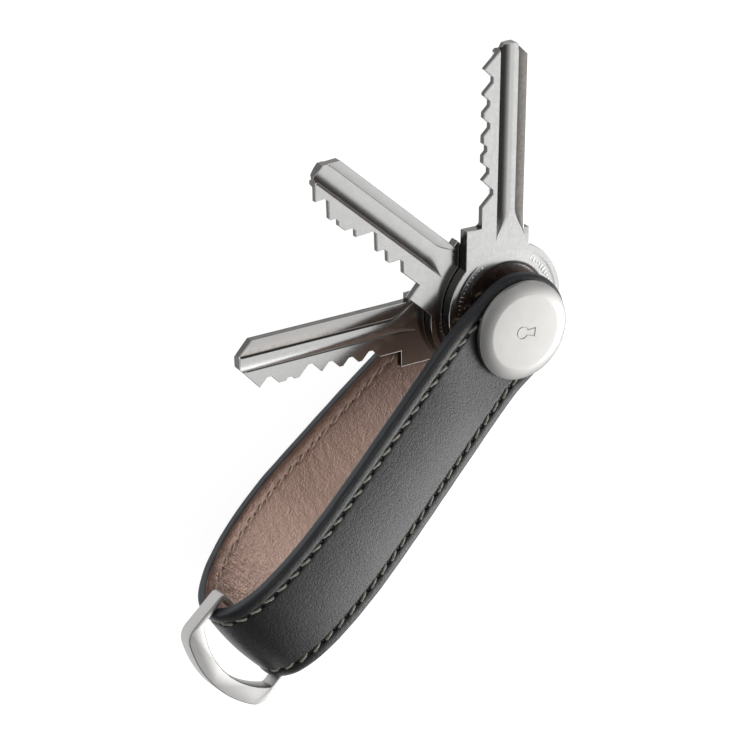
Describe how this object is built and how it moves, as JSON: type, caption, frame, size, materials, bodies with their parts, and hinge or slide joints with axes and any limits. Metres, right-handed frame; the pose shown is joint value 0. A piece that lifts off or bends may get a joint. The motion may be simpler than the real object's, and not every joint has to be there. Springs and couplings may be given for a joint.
{
  "type": "key organiser",
  "caption": "Pocket key organiser: folded leather strap clamped by a button round flip-out keys, with a D-ring in its fold.",
  "frame": {"origin": "centre of the front button's flat face, on the pivot axis of the keys", "axes": "+Z out of the front button, +X along the strap from the pivot to the fold and the D-ring, +Y across the strap, away from the fanned keys"},
  "size_m": [0.1097, 0.0588, 0.0231],
  "materials": {
    "charcoal_leather": "smooth charcoal leather with fine grain and slate painted edges",
    "rose_leather": "pearly dusty-rose lining leather with fine grain",
    "satin_steel": "bead-blasted satin stainless steel",
    "brushed_steel": "finely brushed stainless steel",
    "key_nickel": "nickel-plated, milled and lightly scratched",
    "black_rubber": "matt",
    "black_nylon": "matt",
    "edge_paint": "satin",
    "grey_thread": "waxed",
    "beige_thread": "waxed",
    "white_nylon": "matt"
  },
  "bodies": {
    "strap": {"outer_leather": "charcoal_leather", "lining_leather": "rose_leather", "front_button": "satin_steel", "threaded_barrel": "satin_steel", "nylon_lock_ring": "white_nylon", "front_rubber_washer": "black_rubber", "front_eyelet": "satin_steel", "back_eyelet": "satin_steel", "front_spacer": "satin_steel", "wave_washer": "satin_steel", "front_slip_washer": "black_nylon", "key_washer_1": "black_nylon", "key_washer_2": "black_nylon", "back_slip_washer": "black_nylon"},
    "front_key": {"key_1": "key_nickel"},
    "middle_key": {"key_2": "key_nickel"},
    "rear_key": {"key_3": "key_nickel"},
    "ring": {"d_ring": "brushed_steel"},
    "screw_washer": {"back_rubber_washer": "black_rubber"},
    "screw": {"back_screw": "satin_steel"}
  },
  "joints": [
    {"name": "front_key_turn", "type": "hinge", "parent": "strap", "child": "front_key", "pos_m": [0, 0, -0.00645], "axis": [0, 0, 1], "continuous": true},
    {"name": "middle_key_turn", "type": "hinge", "parent": "strap", "child": "middle_key", "pos_m": [0, 0, -0.0087], "axis": [0, 0, 1], "continuous": true},
    {"name": "rear_key_turn", "type": "hinge", "parent": "strap", "child": "rear_key", "pos_m": [0, 0, -0.01095], "axis": [0, 0, 1], "continuous": true},
    {"name": "ring_swing", "type": "hinge", "parent": "strap", "child": "ring", "pos_m": [0.0669, 0, -0.00025], "axis": [0, -1, 0], "range_deg": [-55, 78]},
    {"name": "screw_travel", "type": "slide", "parent": "strap", "child": "screw_washer", "axis": [0, 0, -1], "range_m": [0, 0.003]},
    {"name": "screw_turn", "type": "hinge", "parent": "screw_washer", "child": "screw", "pos_m": [0, 0, -0.0147], "axis": [0, 0, -1], "range_deg": [0, 2160]}
  ],
  "couplings": [
    {"joint": "screw_travel", "follows": "screw_turn", "m_per_rad": 0.00007957}
  ]
}
